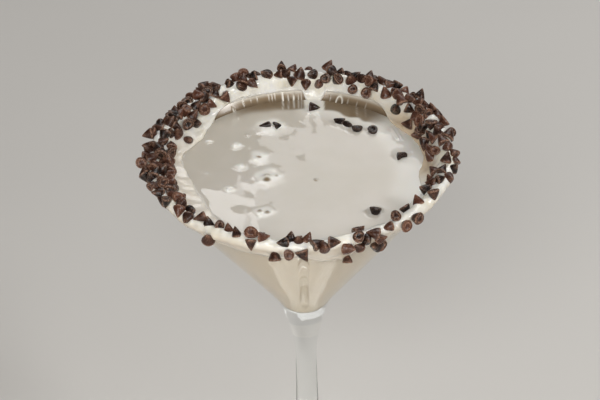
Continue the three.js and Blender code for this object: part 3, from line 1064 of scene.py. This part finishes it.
def foam_and_reflection_share(x, y):
    """How white the drink is at a place with foam and painted reflection, from 0 to 1."""
    foam_and_reflection = np.zeros_like(x)
    ripple = 0.06 * np.sin(0.8 * x + 0.5 * y) + 0.06 * np.sin(1.1 * y - 0.6 * x + 2)
    for cx, cy, half_width, half_length, clear in FOAM_AND_REFLECTION_PATCHES:
        away = np.hypot((x - cx) / half_width, (y - cy) / half_length) + ripple
        patch = FOAM_AND_REFLECTION_STRENGTH * step(0.8 - away, 0.11)
        patch *= 1 - clear * np.exp(-((away / 0.5) ** 2))
        foam_and_reflection = np.maximum(foam_and_reflection, patch)
    for ridge in SKIN_RIDGES:
        foam_and_reflection = np.maximum(foam_and_reflection, 0.7 * np.exp(-(to_ridge(x, y, ridge) ** 2)))
    return foam_and_reflection


def specks(x, y):
    """How brown the skin is with crumbs and with painted shade on bubbles' front sides, from 0 to
    1.
    """
    brown = np.zeros_like(x)
    for cx, cy, radius, strength in SPECKS:
        away = np.hypot(x - cx, (y - cy) * 1.3) / radius
        brown = np.maximum(brown, strength * np.exp(-(away**4)))
    return brown


def wall_shade(azimuth, inward):
    """How much of the wall's brown shade lies on the drink, from 0 to 1."""
    width = SHADE_WIDTH + 0.3 * np.sin(0.42 * azimuth) + bumps(azimuth, SHADE_SCALLOPS)
    width -= SHADE_NARROWING * step(azimuth - SHADE_NARROW_PAST, 4)
    soft = 0.25 + 0.7 * step(azimuth - SHADE_SOFT_PAST, 4)
    return between(azimuth, SHADE_START, SHADE_END, 2.5) * step(width - inward, soft)


def leg_reflections(x, inward):
    """Painted reflections of the legs that reach the drink: white lines on it in front of them."""
    white = np.zeros_like(x)
    for centre, _, _, end, strength in LEGS:
        if end > DRINK_DEPTH:
            foot = inner_wall(DRINK_DEPTH) * math.cos(centre * DEGREE)
            line = np.exp(-(((x - foot) / 0.3) ** 2)) * step(LEG_REFLECTION_REACH - inward, 0.5)
            white = np.maximum(white, 0.6 * strength * line)
    return white


def shore_foam_and_reflection(x, y):
    """The whiter foam and painted reflection along the shore, from the right round to the middle of
    the back.
    """
    azimuth = np.degrees(np.arctan2(y, x))
    inward = np.maximum(inner_wall(DRINK_DEPTH) - np.hypot(x, y), 0)
    stretch = FOAM_AND_REFLECTION_STRENGTH * between(azimuth, SHORE_FOAM_AND_REFLECTION_START, SHORE_FOAM_AND_REFLECTION_END, 2.5)
    return stretch * np.exp(-((inward / SHORE_FOAM_AND_REFLECTION_WIDTH) ** 4))


def skin_tones(x, y):
    """How white with foam and painted reflections, and how brown with painted shade and crumbs, the
    skin is at a place.
    """
    azimuth = np.degrees(np.arctan2(y, x)) % 360
    inward = inner_wall(DRINK_DEPTH) - np.hypot(x, y)
    band = wall_shade(azimuth, inward)
    # The white tab and the legs are painted on the drink as their reflections
    tab = step(x - TAB_LEFT, 0.15) * step(TAB_RIGHT - x, 0.15) * step(y - TAB_FRONT, 0.2)
    reflections = np.maximum(0.95 * tab, leg_reflections(x, inward) * band)
    shade = band * (1 - tab)
    brown = specks(x, y)
    foam_and_reflection = np.maximum(foam_and_reflection_share(x, y), shore_foam_and_reflection(x, y)) * (1 - shade)
    return np.maximum(foam_and_reflection, reflections) * (1 - brown), np.maximum(shade, brown)


def make_drink(material):
    side = bowl_inside(DRINK_DEPTH, INTO_GLASS, ROUND_STEPS)
    edge = side[-1][0]
    level = [(edge * (1 - i / DRINK_RINGS), DRINK_LEVEL) for i in range(1, DRINK_RINGS + 1)]
    vertices, faces = turned(side + level, DRINK_COLUMNS)
    top = np.abs(vertices[:, 2] - DRINK_LEVEL) < 1e-6
    x, y = vertices[top, 0], vertices[top, 1]
    vertices[top, 2] += skin_height(x, y)
    thing = piece("creamy_drink", vertices, faces, material, replaces="drink")
    for name, tones in zip(("foam_and_reflection", "shade"), skin_tones(x, y)):
        values = np.zeros(len(vertices))
        values[top] = tones
        paint(thing, name, values)
    paint(thing, "side", np.where(top, 0.0, 1.0))
    return thing


# The milky film on the bare wall at the back, with the legs that run down it; its colour darkens to
# brown towards the drink as painted shade

def film_streak(azimuth, depth):
    """How white the wall's film is at a place, from 0 to 1."""
    streak = np.zeros_like(azimuth)
    for centre, width, start, end, white in LEGS:
        across = np.exp(-(((azimuth - centre) / width) ** 2))
        down = step(depth - start, 0.25) - step(depth - end, 0.25)
        streak = np.maximum(streak, white * across * down)
    centre, middle, half_width, half_height = LOOP
    across = (azimuth - centre) * DEGREE * inner_wall(middle) / half_width
    from_loop = np.hypot(across, (depth - middle) / half_height) - 1
    return np.maximum(streak, np.exp(-((from_loop / 0.2) ** 2)))


def slab_faces(rows, columns):
    """Faces of a slab: a grid and, after its vertices, the same grid's back, joined all round."""
    half = rows * columns
    last = half - columns
    faces = []
    for row in range(0, last, columns):
        for a in range(row, row + columns - 1):
            quad = (a, a + 1, a + 1 + columns, a + columns)
            faces += [quad, tuple(half + v for v in quad[::-1])]
    edges = []
    for c in range(columns - 1):
        edges += [(c + 1, c), (last + c, last + c + 1)]
    for a in range(0, last, columns):
        edges += [(a, a + columns), (a + 2 * columns - 1, a + columns - 1)]
    return faces + [(a, b, half + b, half + a) for a, b in edges]


def make_film(material):
    angles = np.linspace(FILM_START, FILM_END, FILM_COLUMNS)
    depths = np.linspace(FILM_TOP, FILM_BOTTOM, FILM_ROWS)
    azimuth, depth = np.meshgrid(angles, depths)
    turn = azimuth * DEGREE
    streak = film_streak(azimuth, depth)
    low = (depth - FILM_TOP) / (DRINK_DEPTH - FILM_TOP)
    foot = np.exp(-(DRINK_DEPTH - depth) / FILM_FOOT_REACH)
    thick = FILM_THICKNESS + FILM_SWELLING * streak + FILM_SWELLING * foot
    sides = []
    for radius in (inner_wall(depth) - thick, inner_wall(depth) + FILM_INTO_GLASS):
        side = np.stack([radius * np.cos(turn), radius * np.sin(turn), LIP_HEIGHT - depth], 2)
        sides.append(side.reshape(-1, 3))
    faces = slab_faces(FILM_ROWS, FILM_COLUMNS)
    thing = piece("wall_film", np.concatenate(sides), faces, material)
    paint(thing, "streak", np.tile(streak.ravel(), 2))
    paint(thing, "low", np.tile(low.ravel(), 2))
    return thing


# Stage, lights and camera

def make_floor():
    mesh = bpy.data.meshes.new("floor")
    half = FLOOR_HALF
    corners = [(-half, -half, 0), (half, -half, 0), (half, half, 0), (-half, half, 0)]
    mesh.from_pydata(corners, [], [(0, 1, 2, 3)])
    mesh.materials.append(floor_material())
    floor = bpy.data.objects.new("floor", mesh)
    bpy.context.scene.collection.objects.link(floor)
    floor.location.z = -FLOOR_GAP


def add_softbox(name, centre, target, width, height, radiance, colour=(1, 1, 1)):
    """A flat rectangular light; its brightness is given as radiance."""
    light = bpy.data.lights.new(name, "AREA")
    light.shape = "RECTANGLE"
    light.size = width
    light.size_y = height
    light.energy = radiance * math.pi * width * height
    light.color = colour
    thing = bpy.data.objects.new(name, light)
    bpy.context.scene.collection.objects.link(thing)
    thing.location = centre
    thing.rotation_euler = (Vector(target) - Vector(centre)).to_track_quat("-Z", "Y").to_euler()


def seen_in_drink(x, y, distance):
    """The place, in metres, that the camera sees mirrored in the drink at (x, y) millimetres."""
    spot = Vector((x, y, DRINK_LEVEL)) * MM
    ray = spot - camera_place()
    ray.z = -ray.z
    return spot + ray * ((distance - spot.y) / ray.y)


def add_mirrored_softbox(name, left_low, width, height, radiance):
    """A softbox behind the glass whose lower left corner shows in the drink at a given point."""
    corner = seen_in_drink(*left_low, BACK_LIGHT_DISTANCE)
    surface = Vector((0, 0, DRINK_LEVEL * MM))
    facing = (surface - corner).normalized()
    facing.x = 0
    facing.normalize()
    up = Vector((0, facing.z, -facing.y))
    centre = corner + Vector((width / 2, 0, 0)) + up * (height / 2)
    add_softbox(name, centre, centre + facing, width, height, radiance)


def make_lights():
    """Three panels behind the glass that the drink mirrors, and four round it, in metres."""
    world = bpy.data.worlds.new("studio")
    world.use_nodes = True
    background = world.node_tree.nodes["Background"]
    background.inputs["Color"].default_value = (1.0, 0.97, 0.93, 1)
    background.inputs["Strength"].default_value = 0.1
    bpy.context.scene.world = world
    add_mirrored_softbox("back_softbox", (0, 45), 0.9, 0.75, 3.0)
    add_mirrored_softbox("back_strip", (-19, 22), 0.056, 0.62, 3.0)
    add_mirrored_softbox("side_softbox", (-62, -13), 0.14, 0.5, 6.0)
    middle = (0, 0, LIP_HEIGHT * MM)
    add_softbox("high_softbox", (0.1, 0.75, 1.3), middle, 0.8, 0.4, 0.5)
    add_softbox("front_top", (-0.2, -1.05, 1.0), middle, 0.7, 0.5, 7.6)
    add_softbox("key", (0.8, -0.35, 0.75), middle, 0.2, 0.2, 28)
    add_softbox("front_fill", (-0.3, -1.2, 0.3), (0, 0, 0.12), 1.3, 0.6, 1.9, (1.0, 0.9, 0.78))


def camera_back():
    """The direction from the middle of the lip to the camera."""
    elevation = CAMERA_ELEVATION * DEGREE
    return Vector((0, -math.cos(elevation), math.sin(elevation)))


def camera_place():
    return (camera_back() * CAMERA_DISTANCE + Vector((0, 0, LIP_HEIGHT))) * MM


def make_camera():
    """The camera at its distance, height and roll, with the lip at its place in the picture."""
    back = camera_back()
    right = Vector((1, 0, 0))
    level = Matrix((right, back.cross(right), back)).transposed()
    rolled = level @ Matrix.Rotation(CAMERA_ROLL * DEGREE, 3, "Z")
    aim_x = (LIP_PIXEL[0] - IMAGE_SIZE[0] / 2) / FOCAL_PIXELS
    aim_y = (IMAGE_SIZE[1] / 2 - LIP_PIXEL[1]) / FOCAL_PIXELS
    shift = Vector((aim_x, aim_y, -1)).rotation_difference(Vector((0, 0, -1))).to_matrix()
    place = (rolled @ shift).to_4x4()
    place.translation = camera_place()
    data = bpy.data.cameras.new("camera")
    data.sensor_width = SENSOR
    data.lens = FOCAL_PIXELS * SENSOR / IMAGE_SIZE[0]
    data.clip_end = 50
    camera = bpy.data.objects.new("camera", data)
    bpy.context.scene.collection.objects.link(camera)
    camera.matrix_world = place
    bpy.context.scene.camera = camera


make_camera()
chips = rim_chips()
make_glass(glass_material())
make_drink(drink_material())
make_film(film_material())
make_icing(icing_material(), chips)
chocolate = chocolate_material(
    "dark_chocolate", srgb(17, 9, 7), srgb(86, 52, 39), srgb(130, 91, 73), srgb(172, 133, 110)
)
wet_chocolate = chocolate_material(
    "wet_chocolate", srgb(22, 13, 10), srgb(34, 21, 17), srgb(62, 45, 38), srgb(96, 76, 66)
)
make_chips("rim_chips", chips, chocolate, "iced_rim")
make_chips("floating_chips", floating_chips(), wet_chocolate, "drink")
make_floor()
make_lights()
bpy.context.scene.view_settings.view_transform = "Standard"
